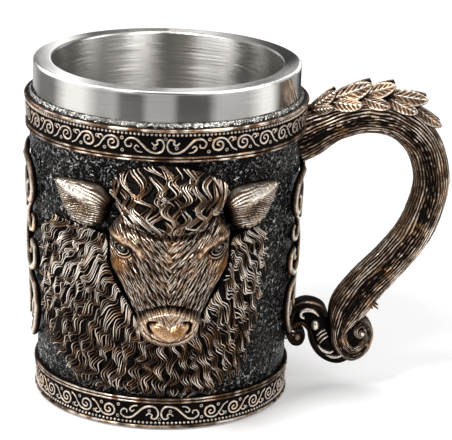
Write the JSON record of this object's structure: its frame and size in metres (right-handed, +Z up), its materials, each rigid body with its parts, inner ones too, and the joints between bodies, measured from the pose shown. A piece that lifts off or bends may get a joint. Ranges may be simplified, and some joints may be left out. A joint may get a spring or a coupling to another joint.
{
  "type": "tankard with steel liner",
  "caption": "Cast bronze-finish tankard with a lift-out stainless steel liner, bull's heads in high relief, scrolled borders and a leaf-topped scroll handle.",
  "frame": {"origin": "centre of the base on the table", "axes": "+Z up along the body, -Y towards the front head, +X along the handle"},
  "size_m": [0.1355, 0.1162, 0.1086],
  "materials": {
    "steel": "brushed round the axis",
    "gasket": "matt black",
    "ground": "cast resin, dark patina, hammered",
    "bronze": "cast resin, bronze rubbed over dark patina"
  },
  "bodies": {
    "tankard": {"body_shell": "ground", "upper_border": "bronze", "lower_border": "bronze", "front_face": "bronze", "front_forelock": "bronze", "front_left_ear": "bronze", "front_right_ear": "bronze", "front_mane": "bronze", "back_face": "bronze", "back_forelock": "bronze", "back_left_ear": "bronze", "back_right_ear": "bronze", "back_mane": "bronze", "far_side_panel": "bronze", "handle_side_panel": "bronze", "handle_arm": "bronze", "handle_leaves": "bronze", "handle_bracket": "bronze", "upper_handle_pin": "steel", "lower_handle_pin": "steel"},
    "liner": {"liner_cup": "steel", "liner_collar": "steel", "liner_gasket": "gasket"}
  },
  "joints": [
    {"name": "liner_lift", "type": "slide", "parent": "tankard", "child": "liner", "axis": [0, 0, 1], "range_m": [0, 0.1]}
  ]
}
